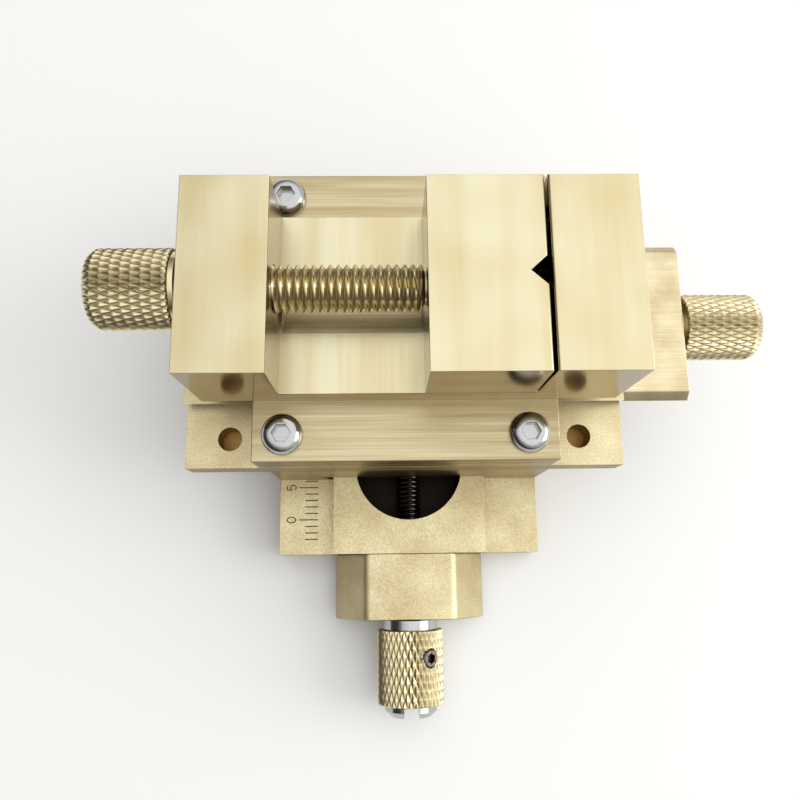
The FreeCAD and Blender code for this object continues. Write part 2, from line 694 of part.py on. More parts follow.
build_y_stage()
carriage(y_stage, stage_place(y_stage, "0", "y_rest"), True)
build_x_stage()
carriage(x_stage, stage_place(x_stage, "x_base_shift", "y_rest"), False)
build_vise()

# keeper screw and jaw pin stand upright inside the jaw
keeper_screw = rod("keeper_screw", ("jaw_middle + keeper_screw_pitch / 2", "0", "keeper_gap + 0.2"),
                   None, "bed_height + 1.2", "keeper_screw_radius")
keeper_head = rod("keeper_screw_head", ("jaw_middle + keeper_screw_pitch / 2", "0", "keeper_gap"),
                  None, "0.8", "keeper_screw_radius * 1.8")
screw_solid = doc.addObject("Part::Fuse", "keeper_screw_solid")
screw_solid.Base = keeper_head
screw_solid.Tool = keeper_screw
vise_at = ("x_base_shift + vise_shift", "y_rest", "vise_floor")
group("jaw_keeper_screw", [screw_solid], vise_at)
jaw_pin = rod("jaw_pin", ("jaw_back + groove_start + groove_width / 2", "0", "keeper_gap * 2"), None,
              "spindle_level - groove_radius - slide_gap - keeper_gap * 2", "pin_radius")
group("jaw_screw_pin", [jaw_pin], vise_at)

# vise screw with its knob, turned in one piece; its own Z axis runs out along -X
spindle_at = (f"{vise_at[0]} + jaw_back - run_gap * 2", "y_rest", "vise_floor + spindle_level")
spindle = new_body("vise_screw", spindle_at, AGAINST_X)
out_face = "( jaw_back - run_gap * 2 + half_vise + collar_gap )"
knob_start = f"( {out_face} + collar_length )"
knob_end = f"( {knob_start} + vise_knob_length )"
turned(spindle, [
    ("0", "0 - tip_length"), ("tip_radius", "0 - tip_length"),
    ("tip_radius", "0 - groove_start - groove_width"),
    ("groove_radius", "0 - groove_start - groove_width"), ("groove_radius", "0 - groove_start"),
    ("tip_radius", "0 - groove_start"), ("tip_radius", "0"), ("spindle_radius", "0"),
    ("spindle_radius", out_face), ("collar_radius", out_face), ("collar_radius", knob_start),
    ("vise_knob_radius", knob_start), ("vise_knob_radius", f"{knob_end} - knob_round"),
    ("vise_knob_radius - knob_round * 0.3", f"{knob_end} - knob_round * 0.3"),
    ("vise_knob_radius - knob_round", knob_end), ("0", knob_end)])
doc.recompute()

PIECES = [
    "y_base", "y_end_block", "y_end_block_screws", "y_lead_screw", "y_thrust_nut", "y_spindle",
    "y_knob", "y_knob_grub_screw", "y_carriage_plate", "y_rail_left", "y_rail_right", "y_gib",
    "y_gib_screws", "y_drive_nut", "y_drive_nut_screws", "y_rail_screws",
    "x_base", "x_base_screws", "x_end_block", "x_end_block_screws", "x_lead_screw",
    "x_thrust_nut", "x_screw_collar", "x_knob", "x_knob_grub_screw",
    "x_carriage_plate", "x_rail_front", "x_rail_back", "x_gib", "x_gib_screws", "x_drive_nut",
    "x_drive_nut_screws", "x_rail_screws", "vise_body", "vise_mount_screws",
    "moving_jaw", "jaw_keeper", "jaw_keeper_screw", "jaw_screw_pin", "vise_screw",
]
failed = [o.Name for o in doc.Objects if "Invalid" in o.State or "Error" in o.State]
for name in PIECES:
    shape = doc.getObject(name).Shape
    if shape.isNull() or not shape.isValid() or not shape.Solids:
        failed.append(name)
if failed:
    raise RuntimeError("failed objects: " + ", ".join(failed))

os.makedirs("parts", exist_ok=True)
for name in PIECES:
    shape = doc.getObject(name).Shape
    shape.exportStep(f"parts/{name}.step")
    box = shape.BoundBox
    print(f"{name:22s} {len(shape.Solids)} solid(s) {shape.Volume:10.2f} mm3  "
          f"x {box.XMin:7.2f} {box.XMax:7.2f}  y {box.YMin:7.2f} {box.YMax:7.2f}  "
          f"z {box.ZMin:7.2f} {box.ZMax:7.2f}")
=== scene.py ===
"""Watch movement holder: a small brass vise carried on two crossed dovetail slides."""
import bmesh
import bpy
import json
import math
from mathutils import Matrix, Vector


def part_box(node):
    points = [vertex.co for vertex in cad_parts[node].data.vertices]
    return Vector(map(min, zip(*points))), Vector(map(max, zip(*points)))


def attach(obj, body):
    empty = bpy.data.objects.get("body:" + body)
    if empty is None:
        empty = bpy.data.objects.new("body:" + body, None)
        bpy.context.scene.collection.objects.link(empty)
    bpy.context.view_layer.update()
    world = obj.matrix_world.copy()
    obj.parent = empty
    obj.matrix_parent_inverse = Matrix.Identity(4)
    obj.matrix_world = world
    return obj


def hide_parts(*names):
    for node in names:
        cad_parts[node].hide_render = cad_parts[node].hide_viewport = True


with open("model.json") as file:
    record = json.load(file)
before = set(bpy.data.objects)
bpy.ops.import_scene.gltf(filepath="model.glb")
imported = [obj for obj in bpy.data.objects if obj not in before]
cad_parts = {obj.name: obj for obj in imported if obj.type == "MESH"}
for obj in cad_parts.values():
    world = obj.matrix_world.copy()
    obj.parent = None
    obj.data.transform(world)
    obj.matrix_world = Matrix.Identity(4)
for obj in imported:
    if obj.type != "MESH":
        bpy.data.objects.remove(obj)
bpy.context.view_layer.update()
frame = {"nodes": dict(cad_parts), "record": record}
MM = 0.001


# ---- Lower base ------------------------------------------------------------------
# A long brass block with a dovetail along its top and a slot for the lead screw.
# It is milled from bar and bead blasted, so its flat tops have a fine matt grain.
def linear(hex_colour):
    """An sRGB hex colour as the four linear numbers that a socket takes."""
    parts = [int(hex_colour[i:i + 2], 16) / 255 for i in (1, 3, 5)]
    return [p / 12.92 if p <= 0.04045 else ((p + 0.055) / 1.055) ** 2.4 for p in parts] + [1.0]


def add(tree, kind, inputs=None, **settings):
    """Add a shader node, set its settings, then fill or link its inputs."""
    made = tree.nodes.new("ShaderNode" + kind)
    for name, value in settings.items():
        setattr(made, name, value)
    for name, value in (inputs or {}).items():
        if isinstance(value, bpy.types.NodeSocket):
            tree.links.new(value, made.inputs[name])
        else:
            made.inputs[name].default_value = value
    return made


def new_metal(name):
    """A bare metal: the new material's tree and its shader."""
    material = bpy.data.materials.new(name)
    material.use_nodes = True
    shader = material.node_tree.nodes["Principled BSDF"]
    shader.inputs["Metallic"].default_value = 1.0
    return material, material.node_tree, shader


def per_mm(x, y, z):
    """Pattern scales for a feature that is this many millimetres long each way."""
    return [1 / (size * MM) for size in (x, y, z)]


def toned_upright(tree, colour):
    """Painted shade: upright faces get a darker, browner colour than level ones, for the shade
    that falls on them.
    """
    facing = add(tree, "SeparateXYZ", {"Vector": add(tree, "NewGeometry").outputs["Normal"]})
    level = add(tree, "MapRange", {"Value": facing.outputs["Z"], "From Min": 0.25,
                                   "From Max": 0.8})
    painted_shade_colour = add(tree, "VectorMath", {0: colour, 1: UPRIGHT_SHADE}, operation="MULTIPLY")
    mixed = add(tree, "Mix", {"Factor": level.outputs["Result"],
                              "A": painted_shade_colour.outputs["Vector"], "B": colour}, data_type="VECTOR")
    return mixed.outputs["Result"]


GRIT = 0.22
STAIN = 7.0
# Painted shade on upright faces: the factor that darkens and browns their colour.
UPRIGHT_SHADE = (0.47, 0.40, 0.32)
SLOT_HALF_WIDE = 8.3
SLOT_HALF_LONG = 25.5
SLOT_TOP = 9.5
HOLE_LONG = 48.0
HOLE_WIDE = 32.0
HOLE_RADIUS = 1.72
HOLE_TOP = 4.3
brass_blasted, tree, shader = new_metal("brass_blasted")
# Bead blasted brass: pale and matt, with a fine salt-and-pepper grain and soft cloudy
# patches where the lacquer and handling have toned it.
place = add(tree, "TexCoord").outputs["Object"]
grit = add(tree, "TexNoise", {"Vector": place, "Scale": 1 / (GRIT * MM), "Detail": 3.0})
cloud = add(tree, "TexNoise", {"Vector": place, "Scale": 1 / (STAIN * MM), "Detail": 2.0})
toned = add(tree, "ValToRGB", {"Fac": cloud.outputs["Fac"]})
toned.color_ramp.elements[0].position = 0.3
toned.color_ramp.elements[0].color = linear("#D4C296")
toned.color_ramp.elements[1].position = 0.7
toned.color_ramp.elements[1].color = linear("#ECE2B6")
speck = add(tree, "MapRange", {"Value": grit.outputs["Fac"], "From Min": 0.3, "From Max": 0.7,
                               "To Min": 0.80, "To Max": 1.04})
grained = add(tree, "VectorMath", {0: toned.outputs["Color"], 1: speck.outputs["Result"]},
              operation="MULTIPLY")
rough = add(tree, "MapRange", {"Value": grit.outputs["Fac"], "From Min": 0.3, "From Max": 0.7,
                               "To Min": 0.52, "To Max": 0.38})
bump = add(tree, "Bump", {"Height": grit.outputs["Fac"], "Strength": 0.55,
                          "Distance": 0.02 * MM})
# The walls of the long slot, from just under the dovetail's top, are painted near black as
# painted shade.
spot = add(tree, "SeparateXYZ", {"Vector": place})
inside = None
for axis, reach in (("X", SLOT_HALF_WIDE), ("Y", SLOT_HALF_LONG)):
    away = add(tree, "Math", {0: spot.outputs[axis]}, operation="ABSOLUTE")
    near = add(tree, "Math", {0: away.outputs["Value"], 1: reach * MM}, operation="LESS_THAN")
    inside = near if inside is None else add(
        tree, "Math", {0: inside.outputs["Value"], 1: near.outputs["Value"]},
        operation="MULTIPLY")
under = add(tree, "Math", {0: spot.outputs["Z"], 1: SLOT_TOP * MM}, operation="LESS_THAN")
slot_painted_shade = add(tree, "Math", {0: inside.outputs["Value"], 1: under.outputs["Value"]},
            operation="MULTIPLY")
# Painted shade: the slot's walls are near black, and upright faces are darker and browner.
darkened = add(tree, "Mix", {"Factor": slot_painted_shade.outputs["Value"], "B": linear("#2A241D"),
                             "A": toned_upright(tree, grained.outputs["Vector"])},
               data_type="RGBA")
# The upper base's blind screw holes have their walls and floor painted browner as painted shade.
upper_low, upper_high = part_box("x_base")
middle = (upper_low + upper_high) / 2
shifts = []
for axis, centre, pitch in (("X", middle.x, HOLE_LONG), ("Y", middle.y, HOLE_WIDE)):
    across = add(tree, "Math", {0: spot.outputs[axis], 1: centre}, operation="SUBTRACT")
    folded = add(tree, "Math", {0: across.outputs["Value"]}, operation="ABSOLUTE")
    off = add(tree, "Math", {0: folded.outputs["Value"], 1: pitch / 2 * MM},
              operation="SUBTRACT")
    shifts.append(add(tree, "Math", {0: off.outputs["Value"], 1: 2.0}, operation="POWER"))
apart = add(tree, "Math", {0: shifts[0].outputs["Value"], 1: shifts[1].outputs["Value"]})
in_hole = add(tree, "Math", {0: apart.outputs["Value"], 1: (HOLE_RADIUS * MM) ** 2},
              operation="LESS_THAN")
flange = upper_low.z + HOLE_TOP * MM
sunk = add(tree, "Math", {0: spot.outputs["Z"], 1: flange}, operation="LESS_THAN")
hole_shade_mask = add(tree, "Math", {0: in_hole.outputs["Value"], 1: sunk.outputs["Value"]},
            operation="MULTIPLY")
painted_shade_colour = add(tree, "Mix", {"Factor": hole_shade_mask.outputs["Value"], "B": linear("#A58551"),
                            "A": darkened.outputs["Result"]}, data_type="RGBA")
tree.links.new(painted_shade_colour.outputs["Result"], shader.inputs["Base Color"])
tree.links.new(rough.outputs["Result"], shader.inputs["Roughness"])
tree.links.new(bump.outputs["Normal"], shader.inputs["Normal"])


def finish_piece(piece, material, slot, body, *stands_for):
    """Give a new piece its finish, its body and the CAD nodes that it stands for."""
    piece.data.materials.clear()
    piece.data.materials.append(material)
    bpy.context.scene.collection.objects.link(piece)
    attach(piece, body)
    if stands_for:
        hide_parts(*stands_for)
    return piece


def keep_node(node, material):
    """A CAD node that is shown as it is, with a better finish."""
    piece = frame["nodes"][node]
    for index in range(len(piece.material_slots)):
        piece.material_slots[index].link = "OBJECT"
        piece.material_slots[index].material = material
    return piece


def body_of(node):
    """The body that a CAD node belongs to."""
    return next(b for b, nodes in frame["record"]["behaviour"]["bodies"].items() if node in nodes)


SHARP = math.radians(38)
FLAT = math.radians(0.6)
LONG_EDGE = 1.1
WELD = 0.002
BASE_EDGE = 0.18


def eased(node, width, material, slot="brass"):
    """The CAD node's own form with its long outer corners broken by a small chamfer."""
    shape = bmesh.new()
    shape.from_mesh(frame["nodes"][node].data)
    bmesh.ops.remove_doubles(shape, verts=shape.verts, dist=WELD * MM)
    bmesh.ops.dissolve_limit(shape, angle_limit=FLAT, verts=shape.verts, edges=shape.edges)
    corners = [e for e in shape.edges if len(e.link_faces) == 2 and e.is_convex
               and e.calc_face_angle() > SHARP and e.calc_length() > LONG_EDGE * MM]
    bmesh.ops.bevel(shape, geom=corners, offset=width * MM, offset_type="OFFSET", segments=2,
                    profile=0.5, affect="EDGES", clamp_overlap=True)
    for face in shape.faces:
        face.smooth = True
    for edge in shape.edges:
        edge.smooth = len(edge.link_faces) == 2 and edge.calc_face_angle() < SHARP
    mesh = bpy.data.meshes.new(node + "_eased")
    shape.to_mesh(mesh)
    shape.free()
    piece = bpy.data.objects.new(node + "_eased", mesh)
    finish_piece(piece, material, slot, body_of(node), node)
    weighted = piece.modifiers.new("even_faces", "WEIGHTED_NORMAL")
    weighted.keep_sharp = True
    return piece


eased("y_base", BASE_EDGE, brass_blasted)


# ---- Scale on the lower base -----------------------------------------------------
# Millimetre lines and plain numbers beside the dovetail: engraving filled with dark
# lacquer. Thin slabs stand for it, a hair above the flange and under the rail's gap.
ENGRAVED_UP = 0.012
ENGRAVED_DEEP = 0.03
LINE = 0.17
SCALE_ZERO = 5.3
TICK_FAR = -14.1
TICK_SHORT = 2.0
TICK_LONG = 2.95
TICKS_BEFORE = 3
TICKS_AFTER = 14
NUMBER_X = -18.25
NUMBER_TALL = 1.35
NUMBER_WIDE = 0.85
NUMBER_STEP = 1.45
RAIL_GAP = 0.1
WORN_SPOT = 0.35

lacquer, tree, shader = new_metal("dark_lacquer")
# Dark lacquer wiped into the engraving: dull brown-black, a little worn and paler in spots.
shader.inputs["Metallic"].default_value = 0.0
shader.inputs["Roughness"].default_value = 0.55
place = add(tree, "TexCoord").outputs["Object"]
worn = add(tree, "TexNoise", {"Vector": place, "Scale": 1 / (WORN_SPOT * MM), "Detail": 2.0})
shade = add(tree, "ValToRGB", {"Fac": worn.outputs["Fac"]})
shade.color_ramp.elements[0].position = 0.35
shade.color_ramp.elements[0].color = linear("#3A2E1C")
shade.color_ramp.elements[1].position = 0.75
shade.color_ramp.elements[1].color = linear("#7A6744")
tree.links.new(shade.outputs["Color"], shader.inputs["Base Color"])


def engraved_stroke(shape, points, width, low, high):
    """A closed thin slab along a line of (x, y) points in millimetres, mitred at its bends."""
    path = [Vector(p) for p in points]
    loops = []
    for i, point in enumerate(path):
        before = (point - path[i - 1]).normalized() if i else None
        after = (path[i + 1] - point).normalized() if i + 1 < len(path) else None
        along = ((before or after) + (after or before)).normalized()
        side = Vector((-along.y, along.x))
        reach = width / 2 / max(0.5, along.dot(after or before))
        corners = [point + side * reach, point - side * reach]
        loops.append([shape.verts.new((c.x * MM, c.y * MM, z * MM))
                      for c, z in ((corners[0], low), (corners[1], low),
                                   (corners[1], high), (corners[0], high))])
    for first, second in zip(loops, loops[1:]):
        for k in range(4):
            shape.faces.new((first[k], first[(k + 1) % 4], second[(k + 1) % 4], second[k]))
    shape.faces.new(loops[0][::-1])
    shape.faces.new(loops[-1])


def arc(centre, radii, start, end, steps):
    """Points on part of an ellipse, angles in degrees."""
    angles = [math.radians(start + (end - start) * i / steps) for i in range(steps + 1)]
    return [(centre[0] + radii[0] * math.cos(a), centre[1] + radii[1] * math.sin(a))
            for a in angles]


def figure_strokes(figure):
    """The strokes of a plain figure in a box one wide and one tall, centred on zero."""
    if figure == "0":
        return [arc((0, 0), (0.5, 0.5), 0, 360, 20)]
    if figure == "1":
        return [[(-0.25, 0.3), (0.05, 0.5), (0.05, -0.5)]]
    bowl = arc((0, -0.17), (0.46, 0.33), 110, -140, 14)
    return [[(0.42, 0.5), (-0.36, 0.5), (-0.42, 0.02)] + bowl[1:]]


base_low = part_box("y_base")[0]
flange_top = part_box("y_rail_left")[0].z / MM - RAIL_GAP
low, high = flange_top - ENGRAVED_DEEP, flange_top + ENGRAVED_UP
zero = base_low.y / MM + SCALE_ZERO
marks = bmesh.new()
for count in range(-TICKS_BEFORE, TICKS_AFTER + 1):
    reach = TICK_LONG if count % 5 == 0 and count >= 0 else TICK_SHORT
    y = zero + count
    engraved_stroke(marks, [(TICK_FAR - reach, y), (TICK_FAR, y)], LINE, low, high)
for value in (0, 5, 10):
    text = str(value)
    for place_in_text, figure in enumerate(text):
        shift = (place_in_text - (len(text) - 1) / 2) * NUMBER_WIDE * NUMBER_STEP
        for stroke in figure_strokes(figure):
            turned = [(NUMBER_X - v * NUMBER_TALL, zero + value + u * NUMBER_WIDE + shift)
                      for u, v in stroke]
            engraved_stroke(marks, turned, LINE, low, high)
bmesh.ops.recalc_face_normals(marks, faces=marks.faces)
mesh = bpy.data.meshes.new("scale_marks")
marks.to_mesh(mesh)
marks.free()
finish_piece(bpy.data.objects.new("scale_marks", mesh), lacquer, "black_steel", "base")


# ---- Lower end block -------------------------------------------------------------
# A brass block with sloping shoulders, screwed to the front of the base. It carries the
# thrust end of the lead screw, and it is bead blasted like the base.
BLOCK_EDGE = 0.22
OIL_PATCH = 0.8
black_steel, tree, shader = new_metal("blackened_steel")
# Oil-blackened steel: near black with a soft oily sheen and faint brown patches. The thread
# crests are painted pale grey, partly for wear to bare metal and partly as a painted highlight.
place = add(tree, "TexCoord").outputs["Object"]
patch = add(tree, "TexNoise", {"Vector": place, "Scale": 1 / (OIL_PATCH * MM), "Detail": 3.0})
shade = add(tree, "ValToRGB", {"Fac": patch.outputs["Fac"]})
shade.color_ramp.elements[0].position = 0.3
shade.color_ramp.elements[0].color = linear("#2A2724")
shade.color_ramp.elements[1].position = 0.75
shade.color_ramp.elements[1].color = linear("#4A423A")
raised = add(tree, "MapRange", {"Value": add(tree, "NewGeometry").outputs["Pointiness"],
                                "From Min": 0.52, "From Max": 0.62})
crest_wear_and_highlight = add(tree, "Mix", {"Factor": raised.outputs["Result"], "A": shade.outputs["Color"],
                           "B": linear("#8C857A")}, data_type="RGBA")
rough = add(tree, "MapRange", {"Value": patch.outputs["Fac"], "To Min": 0.28, "To Max": 0.46})
tree.links.new(crest_wear_and_highlight.outputs["Result"], shader.inputs["Base Color"])
tree.links.new(rough.outputs["Result"], shader.inputs["Roughness"])

eased("y_end_block", BLOCK_EDGE, brass_blasted)
keep_node("y_end_block_screws", black_steel)


# ---- Lead screws -----------------------------------------------------------------
# Each slide is driven by a blackened steel M4 screw with a cut thread, which turns in
# its end block and pulls the carriage by its nut.
LEAD_PITCH = 0.7
LEAD_THREAD_DEEP = 0.40
SAMPLES_PER_PITCH = 6
LEAD_SIDES = 28
FLANK_STEEP = 1.6
CREST_FLAT = 0.3


def ring_mesh(name, rings, sides, closed=False):
    """A round body from rings (height, radius) in millimetres along Z. A radius is a
    number or a function of the angle. A closed body joins its last ring to its first."""
    shape = bmesh.new()
    loops = []
    for height, radius in rings:
        loop = []
        for i in range(sides):
            angle = 2 * math.pi * i / sides
            r = radius(angle) if callable(radius) else radius
            loop.append(shape.verts.new((r * math.cos(angle) * MM, r * math.sin(angle) * MM,
                                         height * MM)))
        loops.append(loop)
    pairs = list(zip(loops, loops[1:]))
    if closed:
        pairs.append((loops[-1], loops[0]))
    else:
        shape.faces.new(loops[0][::-1])
        shape.faces.new(loops[-1])
    for first, second in pairs:
        for i in range(sides):
            k = (i + 1) % sides
            shape.faces.new((first[i], first[k], second[k], second[i]))
    bmesh.ops.recalc_face_normals(shape, faces=shape.faces)
    for face in shape.faces:
        face.smooth = len(face.verts) == 4
    for edge in shape.edges:
        edge.smooth = len(edge.link_faces) == 2 and edge.calc_face_angle() < SHARP
    mesh = bpy.data.meshes.new(name)
    shape.to_mesh(mesh)
    shape.free()
    return mesh


def thread_ring(height, crest, pitch, deep):
    """One ring of a right-hand screw thread: flat crests and roots with sloping flanks."""
    def radius(angle):
        phase = (height / pitch - angle / (2 * math.pi)) % 1.0
        slope = abs(phase - 0.5) * 2
        return crest - deep * min(1.0, max(0.0, slope * FLANK_STEEP - CREST_FLAT))
    return (height, radius)


def thread_rings(start, end, crest, pitch, deep):
    """The rings of a thread from one height to another."""
    steps = max(2, round((end - start) / pitch * SAMPLES_PER_PITCH))
    return [thread_ring(start + (end - start) * i / steps, crest, pitch, deep)
            for i in range(steps + 1)]


def lead_screw(node, turn):
    """The threaded rod that stands for a lead screw node, laid along its own axis."""
    lowest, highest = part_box(node)
    size = highest - lowest
    length = max(size) / MM
    radius = min(size) / MM / 2
    chamfer = LEAD_THREAD_DEEP
    rings = [(0, radius - chamfer)]
    rings += thread_rings(chamfer, length - chamfer, radius, LEAD_PITCH, LEAD_THREAD_DEEP)
    rings += [(length, radius - chamfer)]
    mesh = ring_mesh(node + "_threaded", rings, LEAD_SIDES)
    start = (lowest + highest) / 2 - turn @ Vector((0, 0, length * MM / 2))
    mesh.transform(Matrix.Translation(start) @ turn.to_4x4())
    piece = bpy.data.objects.new(node + "_threaded", mesh)
    return finish_piece(piece, black_steel, "black_steel", body_of(node), node)


MOTTLE = 0.3
steel, tree, shader = new_metal("bright_steel")
# Bright turned steel: cool grey and glossy, with a faint fine mottle that softens its shine.
place = add(tree, "TexCoord").outputs["Object"]
mottle = add(tree, "TexNoise", {"Vector": place, "Scale": 1 / (MOTTLE * MM), "Detail": 3.0})
tint = add(tree, "MapRange", {"Value": mottle.outputs["Fac"], "To Min": 0.40, "To Max": 0.55})
rough = add(tree, "MapRange", {"Value": mottle.outputs["Fac"], "To Min": 0.10, "To Max": 0.24})
tree.links.new(tint.outputs["Result"], shader.inputs["Base Color"])
tree.links.new(rough.outputs["Result"], shader.inputs["Roughness"])

ALONG_FRONT = Matrix.Rotation(math.radians(90), 3, "X")
ALONG_RIGHT = Matrix.Rotation(math.radians(90), 3, "Y")
lead_screw("y_lead_screw", ALONG_FRONT)
lead_screw("x_lead_screw", ALONG_RIGHT)
keep_node("y_spindle", steel)
keep_node("y_thrust_nut", steel)
keep_node("x_thrust_nut", steel)


# ---- Hand knobs ------------------------------------------------------------------
# Turned brass knobs with a rolled diamond knurl, held on their screws by a black grub
# screw. The lower one is a sleeve, with the slotted steel spindle showing at its end.
KNURL_ROUND = 0.90
KNURL_LONG = 2.4
KNURL_DEEP = 0.30
KNURL_STEPS = 8
KNURL_STEPS_ALONG = 16
KNURL_TIP = 0.86
GRUB_HOLE = 1.32
GRUB_DEEP = 0.95
ROUND_SHARE = 0.97
KNOB_CLOUD = 1.5

brass_turned, tree, shader = new_metal("brass_turned")
# Turned and rolled brass: the knurl's crests are painted bright yellow-cream as a painted
# highlight, and its hollows darker and browner as painted shade, with soft random smudges over
# all.
place = add(tree, "TexCoord").outputs["Object"]
cloud = add(tree, "TexNoise", {"Vector": place, "Scale": 1 / (KNOB_CLOUD * MM), "Detail": 3.0})
hollow = add(tree, "NewGeometry").outputs["Pointiness"]
crest = add(tree, "MapRange", {"Value": hollow, "From Min": 0.40, "From Max": 0.56})
shade = add(tree, "ValToRGB", {"Fac": crest.outputs["Result"]})
shade.color_ramp.elements[0].color = linear("#6E5836")
shade.color_ramp.elements[1].position = 0.8
shade.color_ramp.elements[1].color = linear("#E6D9AE")
smudge = add(tree, "MapRange", {"Value": cloud.outputs["Fac"], "From Min": 0.3, "From Max": 0.7,
                                "To Min": 0.88, "To Max": 1.04})
toned = add(tree, "VectorMath", {0: shade.outputs["Color"], 1: smudge.outputs["Result"]},
            operation="MULTIPLY")
rough = add(tree, "MapRange", {"Value": crest.outputs["Result"], "To Min": 0.50, "To Max": 0.24})
tree.links.new(toned.outputs["Vector"], shader.inputs["Base Color"])
tree.links.new(rough.outputs["Result"], shader.inputs["Roughness"])


def knurl_rings(start, end, radius, round_start, round_end, pit=None):
    """Rings of a diamond knurl whose two ends are rounded off by quarter circles."""
    around = round(2 * math.pi * radius / KNURL_ROUND)
    steps = round((end - start) / KNURL_LONG * KNURL_STEPS_ALONG)
    rings = []
    for i in range(steps + 1):
        height = start + (end - start) * i / steps
        drop = 0.0
        for corner, gap in ((round_start, height - start), (round_end, end - height)):
            if gap < corner:
                drop = max(drop, corner - math.sqrt(corner ** 2 - (corner - gap) ** 2))

        def radius_at(angle, height=height, drop=drop):
            if pit:
                swing = (angle - pit[1] + math.pi) % (2 * math.pi) - math.pi
                if math.hypot(height - pit[0], swing * radius) < GRUB_HOLE:
                    return radius - GRUB_DEEP
            turn = angle * around / (2 * math.pi)
            rise = height / KNURL_LONG
            waves = [abs(((turn + s * rise) % 1.0) * 2 - 1) for s in (1, -1)]
            tooth = min(KNURL_TIP, 1 - max(waves)) / KNURL_TIP
            return radius - drop * ROUND_SHARE - KNURL_DEEP * (1 - tooth)
        rings.append((height, radius_at))
    return rings, around * KNURL_STEPS


def knob(node, grub, turn, round_inner, round_outer, bore=None):
    """A knurled knob that stands for a CAD knob, with a round hole over its grub screw."""
    lowest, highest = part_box(node)
    size = highest - lowest
    axis = turn @ Vector((0, 0, 1))
    length = abs(size.dot(axis)) / MM
    radius = min(size) / MM / 2
    start = (lowest + highest) / 2 - axis * (length * MM / 2)
    grub_low, grub_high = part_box(grub)
    at = turn.transposed() @ ((grub_low + grub_high) / 2 - start) / MM
    pit = (at.z, math.atan2(at.y, at.x))
    rings, sides = knurl_rings(0, length, radius, round_inner, round_outer, pit)
    if bore:
        rings = rings + [(length, bore), (0, bore)]
    mesh = ring_mesh(node + "_knurled", rings, sides, closed=bool(bore))
    mesh.transform(Matrix.Translation(start) @ turn.to_4x4())
    piece = bpy.data.objects.new(node + "_knurled", mesh)
    return finish_piece(piece, brass_turned, "brass", body_of(node), node)


def hexagon(across):
    """Radius of a hexagon with this half width between flats, at any angle."""
    def radius(angle):
        return across / math.cos((angle % (math.pi / 3)) - math.pi / 6)
    return radius


KNOB_BORE = 3.95
KNOB_EDGE = 0.4
KNOB_END = 1.5
GRUB = 1.25
GRUB_FLATS = 0.65
GRUB_SOCKET = 0.7
GRUB_POINT = 0.2
GRUB_EDGE = 0.15
GRUB_SIDES = 48
knob("y_knob", "y_knob_grub_screw", ALONG_FRONT, KNOB_EDGE, KNOB_EDGE, bore=KNOB_BORE)
knob("x_knob", "x_knob_grub_screw", ALONG_RIGHT, KNOB_EDGE, KNOB_END)


def grub_screw(node, knob_node, turn):
    """A headless screw with a hexagon socket, square to its knob's axis."""
    lowest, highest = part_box(node)
    knob_low, knob_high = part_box(knob_node)
    axis = turn @ Vector((0, 0, 1))
    outward = (lowest + highest) / 2 - (knob_low + knob_high) / 2
    outward = (outward - axis * outward.dot(axis)).normalized()
    tall = (highest.z - lowest.z) / MM
    length = (tall - 2 * GRUB * math.sqrt(1 - outward.z ** 2)) / abs(outward.z)
    rings = [(0, GRUB - GRUB_POINT), (GRUB_POINT, GRUB),
             (length - GRUB_EDGE, GRUB), (length, GRUB - GRUB_EDGE),
             (length, hexagon(GRUB_FLATS)), (length - GRUB_SOCKET, hexagon(GRUB_FLATS))]
    mesh = ring_mesh(node + "_socketed", rings, GRUB_SIDES)
    stand = outward.to_track_quat("Z", "Y").to_matrix().to_4x4()
    start = (lowest + highest) / 2 - outward * (length * MM / 2)
    mesh.transform(Matrix.Translation(start) @ stand)
    piece = bpy.data.objects.new(node + "_socketed", mesh)
    return finish_piece(piece, black_steel, "black_steel", body_of(node), node)


grub_screw("y_knob_grub_screw", "y_knob", ALONG_FRONT)
grub_screw("x_knob_grub_screw", "x_knob", ALONG_RIGHT)
keep_node("x_screw_collar", brass_turned)


# ---- Lower carriage --------------------------------------------------------------
# A square plate screwed down on two dovetail rails, with a gib pressed in by three small
# screws. The lead screw's nut hangs below it, in the slot of the base.
GRIND = 0.14
GRIND_LONG = 9.0
GROUND_CLOUD = 4.0
brass_ground, tree, shader = new_metal("brass_ground")
# Ground brass: satin, a touch darker than blasted brass, with short fine lines along X
# and soft darker smudges where it is handled.
place = add(tree, "TexCoord").outputs["Object"]
lines_at = add(tree, "Mapping", {"Vector": place, "Scale": per_mm(GRIND_LONG, GRIND, GRIND)})
lines = add(tree, "TexNoise", {"Vector": lines_at.outputs["Vector"], "Scale": 1.0, "Detail": 2.0})
cloud = add(tree, "TexNoise", {"Vector": place, "Scale": 1 / (GROUND_CLOUD * MM), "Detail": 2.0})
toned = add(tree, "ValToRGB", {"Fac": cloud.outputs["Fac"]})
toned.color_ramp.elements[0].position = 0.32
toned.color_ramp.elements[0].color = linear("#CCB990")
toned.color_ramp.elements[1].position = 0.68
toned.color_ramp.elements[1].color = linear("#E4D8B2")
streak = add(tree, "MapRange", {"Value": lines.outputs["Fac"], "From Min": 0.3, "From Max": 0.7,
                                "To Min": 0.86, "To Max": 1.03})
lined = add(tree, "VectorMath", {0: toned.outputs["Color"], 1: streak.outputs["Result"]},
            operation="MULTIPLY")
rough = add(tree, "MapRange", {"Value": lines.outputs["Fac"], "From Min": 0.3, "From Max": 0.7,
                               "To Min": 0.38, "To Max": 0.26})
bump = add(tree, "Bump", {"Height": lines.outputs["Fac"], "Strength": 0.35,
                          "Distance": 0.01 * MM})
# Painted shade: upright faces are given a darker, browner colour.
tree.links.new(toned_upright(tree, lined.outputs["Vector"]), shader.inputs["Base Color"])
tree.links.new(rough.outputs["Result"], shader.inputs["Roughness"])
tree.links.new(bump.outputs["Normal"], shader.inputs["Normal"])

